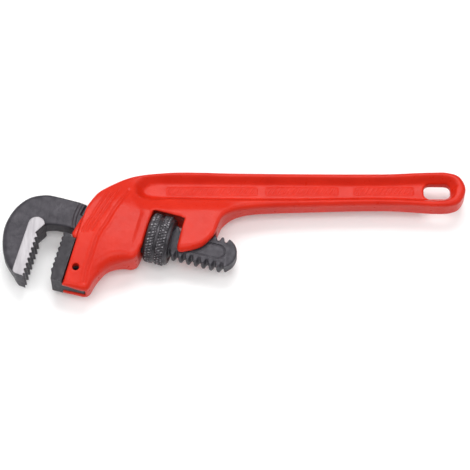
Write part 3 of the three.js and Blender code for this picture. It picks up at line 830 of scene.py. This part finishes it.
# ---------- materials ----------
class Graph:
    """A material's nodes: add() makes one, and sets or links its inputs."""

    def __init__(self, name):
        self.material = bpy.data.materials.new(name)
        self.material.use_nodes = True
        self.tree = self.material.node_tree
        self.shader = self.tree.nodes["Principled BSDF"]
        self.position = self.add("ShaderNodeTexCoord").outputs["Object"]
        self.edge = self.add("ShaderNodeAttribute", attribute_name="edge").outputs["Fac"]

    def add(self, kind, inputs=None, **properties):
        node = self.tree.nodes.new(kind)
        for key, value in properties.items():
            setattr(node, key, value)
        for key, value in (inputs or {}).items():
            self.set(node, key, value)
        return node

    def set(self, node, key, value):
        socket = node.inputs[key]
        if isinstance(value, bpy.types.NodeSocket):
            self.tree.links.new(value, socket)
        else:
            socket.default_value = value

    def noise(self, size_mm, detail, stretch=None):
        """Noise, mostly from 0.3 to 0.7, with blobs of about the given size; stretch is a turn and scales."""
        position = self.position
        if stretch is not None:
            inputs = {"Vector": position, "Rotation": stretch[0], "Scale": stretch[1]}
            position = self.add("ShaderNodeMapping", inputs).outputs[0]
        inputs = {"Vector": position, "Scale": 1.0 / (size_mm * MM), "Detail": detail, "Roughness": 0.55}
        return self.add("ShaderNodeTexNoise", inputs).outputs["Fac"]

    def ramp(self, value, low, high, to_low=0.0, to_high=1.0):
        """The value's range from low to high, spread from to_low to to_high."""
        inputs = {"Value": value, "From Min": low, "From Max": high, "To Min": to_low, "To Max": to_high}
        return self.add("ShaderNodeMapRange", inputs).outputs["Result"]

    def times(self, a, b):
        return self.add("ShaderNodeMath", {0: a, 1: b}, operation="MULTIPLY").outputs[0]

    def colour(self, share, low, high):
        """Mixes two colours, each given as numbers or as another node's output."""
        node = self.add("ShaderNodeMix", {"Factor": share}, data_type="RGBA")
        for key, value in ((6, low), (7, high)):
            self.set(node, key, value if isinstance(value, bpy.types.NodeSocket) else (*value, 1.0))
        return node.outputs[2]

    def bump(self, height, depth_mm, below=None):
        inputs = {"Height": height, "Distance": depth_mm * MM, "Strength": 1.0}
        if below is not None:
            inputs["Normal"] = below
        return self.add("ShaderNodeBump", inputs).outputs["Normal"]

    def finish(self, **sockets):
        """Sets or links the shader's own sockets, whose names have _ for a space here."""
        for key, value in sockets.items():
            self.set(self.shader, key.replace("_", " "), value)
        return self.material


def enamel():
    """Glossy red enamel, thick enough to soften the rough casting below it, with painted highlights on its
    outer edges and painted shade in its hollows.
    """
    graph = Graph("red_enamel")
    patches = graph.ramp(graph.noise(14, 4), 0.35, 0.65)
    red = graph.colour(patches, RED_DEEP, RED_FULL)
    # painted highlight: the red turns lighter on outer edges
    red = graph.colour(graph.ramp(graph.edge, 0.25, 1.0, 0.0, 0.35), red, RED_PAINTED_HIGHLIGHT)
    # painted shade: the red turns darker in hollows and creases
    red = graph.colour(graph.ramp(graph.edge, -0.9, -0.2, 0.3, 0.0), red, RED_PAINTED_SHADE)
    peel = graph.bump(graph.noise(3.2, 2), 0.11)
    normal = graph.bump(graph.noise(1.4, 1), 0.05, peel)
    rough = graph.ramp(graph.noise(2.2, 4), 0.3, 0.7, 0.26, 0.40)
    return graph.finish(Base_Color=red, Roughness=rough, Normal=normal, Specular_IOR_Level=0.17)


def black_oxide(name, tone):
    """Forged steel under a black finish, thinner along its edges; tone scales how light the black is."""
    graph = Graph(name)
    deep = [tone * part for part in BLACK_DEEP]
    thin = [tone * part for part in BLACK_THIN]
    black = graph.colour(graph.ramp(graph.noise(5, 5), 0.3, 0.7), deep, thin)
    worn = graph.times(graph.ramp(graph.edge, 0.3, 1.0), graph.ramp(graph.noise(1.1, 4), 0.4, 0.65))
    black = graph.colour(graph.times(worn, 0.5), black, BLACK_EDGES)
    forging = graph.bump(graph.noise(2.6, 3), 0.10)
    normal = graph.bump(graph.noise(0.5, 5), 0.035, forging)
    rough = graph.ramp(graph.noise(1.6, 5), 0.3, 0.7, 0.36, 0.58)
    return graph.finish(Base_Color=black, Roughness=rough, Normal=normal, Metallic=0.2,
                        Specular_IOR_Level=0.3)


def knurled_steel():
    """Black finish worn bright on the tips of the knurl."""
    graph = Graph("knurled_black_steel")
    black = graph.colour(graph.ramp(graph.noise(3, 4), 0.3, 0.7), KNURL_DEEP, KNURL_THIN)
    tips = graph.times(graph.ramp(graph.edge, 0.35, 1.0), graph.ramp(graph.noise(1.8, 4), 0.42, 0.62))
    black = graph.colour(tips, black, KNURL_TIPS)
    normal = graph.bump(graph.noise(0.4, 4), 0.03)
    rough = graph.ramp(graph.noise(1.0, 4), 0.3, 0.7, 0.28, 0.46)
    return graph.finish(Base_Color=black, Roughness=rough, Normal=normal, Metallic=0.7)


def ground_steel():
    """Bright face with the slanting marks of the grinding wheel."""
    graph = Graph("ground_bright_steel")
    marks = graph.noise(0.5, 4, (GRINDING_TURN, (1.0, 0.06, 1.0)))
    streaks = graph.noise(2.0, 3, (GRINDING_TURN, (1.0, 0.1, 1.0)))
    steel = graph.colour(graph.ramp(marks, 0.3, 0.7), GROUND_DARK, GROUND_BRIGHT)
    steel = graph.colour(graph.ramp(streaks, 0.3, 0.7, 0.0, 0.5), steel, GROUND_STREAKS)
    rough = graph.ramp(streaks, 0.3, 0.7, 0.42, 0.58)
    return graph.finish(Base_Color=steel, Roughness=rough, Normal=graph.bump(marks, 0.012), Metallic=0.4)


def spring_steel():
    """Blued steel with faint marks of drawing along it."""
    graph = Graph("blued_spring_steel")
    drawn = graph.noise(0.6, 4, (DRAWING_TURN, (0.15, 1.0, 1.0)))
    steel = graph.colour(graph.ramp(drawn, 0.3, 0.7), SPRING_DARK, SPRING_LIGHT)
    rough = graph.ramp(graph.noise(1.5, 3), 0.3, 0.7, 0.28, 0.42)
    return graph.finish(Base_Color=steel, Roughness=rough, Normal=graph.bump(drawn, 0.01), Metallic=0.9)


def pale_floor():
    graph = Graph("pale_floor")
    tone = graph.colour(graph.ramp(graph.noise(60, 2), 0.3, 0.7), FLOOR_DARK, FLOOR_LIGHT)
    return graph.finish(Base_Color=tone, Roughness=0.9, Specular_IOR_Level=0.1, Emission_Color=(1, 1, 1, 1),
                        Emission_Strength=0.12)


# ---------- springs ----------
def dress_springs(material):
    """The springs and the spring's pin keep their CAD shape: only the look changes."""
    for name in ("leaf_spring", "coil_spring", "spring_pin"):
        data = frame["nodes"][name].data
        data.materials.clear()
        data.materials.append(material)


# ---------- studio, in metres ----------
CAMERA_DISTANCE = 1.4
CAMERA_LIFT = math.radians(65)            # angle above the floor
CAMERA_TARGET = Vector((-0.051, -0.443, MID_LEVEL)) * MM
FRAME_WIDTH = 0.25487                     # seen across the picture at the target
SENSOR_WIDTH_MM = 36.0
WORLD_STRENGTH = 0.40
SOFTBOXES = [                             # name, place, width, height and watts
    ("back_panel", (0.0, 0.6, 1.27), 0.8, 0.53, 9.3),
    ("left_panel", (-1.3, 0.2, 1.1), 1.0, 0.9, 7),
    ("right_panel", (1.3, 0.1, 1.2), 1.0, 0.9, 5),
    ("top_panel", (0.0, -0.5, 1.7), 1.4, 0.9, 13),
]
FLOOR_REACH = 3.0
FLOOR_DROP = 0.0002                       # keeps the floor just clear of the wrench's lowest point


def make_camera():
    data = bpy.data.cameras.new("camera")
    data.sensor_width = SENSOR_WIDTH_MM
    data.lens = SENSOR_WIDTH_MM * CAMERA_DISTANCE / FRAME_WIDTH
    data.clip_end = 20.0
    camera = bpy.data.objects.new("camera", data)
    back = Vector((0, -math.cos(CAMERA_LIFT), math.sin(CAMERA_LIFT)))
    camera.location = CAMERA_TARGET + CAMERA_DISTANCE * back
    camera.rotation_euler = (math.pi / 2 - CAMERA_LIFT, 0, 0)
    bpy.context.scene.collection.objects.link(camera)
    bpy.context.scene.camera = camera


def make_softbox(name, location, width, height, watts):
    """A rectangular light that faces the origin."""
    data = bpy.data.lights.new(name, "AREA")
    data.shape = "RECTANGLE"
    data.size = width
    data.size_y = height
    data.energy = watts
    light = bpy.data.objects.new(name, data)
    light.location = location
    light.rotation_euler = (Vector((0, 0, 0)) - light.location).to_track_quat("-Z", "Y").to_euler()
    bpy.context.scene.collection.objects.link(light)


def make_studio():
    world = bpy.data.worlds.new("studio")
    world.use_nodes = True
    background = world.node_tree.nodes["Background"]
    background.inputs["Color"].default_value = (1.0, 1.0, 1.0, 1.0)
    background.inputs["Strength"].default_value = WORLD_STRENGTH
    bpy.context.scene.world = world
    bpy.context.scene.view_settings.view_transform = "Standard"
    for softbox in SOFTBOXES:
        make_softbox(*softbox)


def make_floor():
    corners = [(x * FLOOR_REACH, y * FLOOR_REACH, 0) for x, y in ((-1, -1), (1, -1), (1, 1), (-1, 1))]
    mesh = bpy.data.meshes.new("floor")
    mesh.from_pydata(corners, [], [(0, 1, 2, 3)])
    mesh.materials.append(pale_floor())
    floor = bpy.data.objects.new("floor", mesh)
    bpy.context.scene.collection.objects.link(floor)
    floor.location.z = -FLOOR_DROP


# ---------- build ----------
make_camera()
make_studio()
make_floor()
black = black_oxide("black_oxide_steel", 1.0)
# a darker copy of the black finish: the heel jaw is darker than the other black parts, and on the rolled pin
# the darkness is painted shade that makes its hole read dark
darker_black_and_shade = black_oxide("darker_black_and_shade_steel", 0.62)
make_casting(enamel())
make_hook(black, ground_steel())
make_nut(knurled_steel())
make_heel_jaw(darker_black_and_shade)
# painted shade: the pin gets the darker black so that its hole reads dark
make_pin(darker_black_and_shade)
dress_springs(spring_steel())
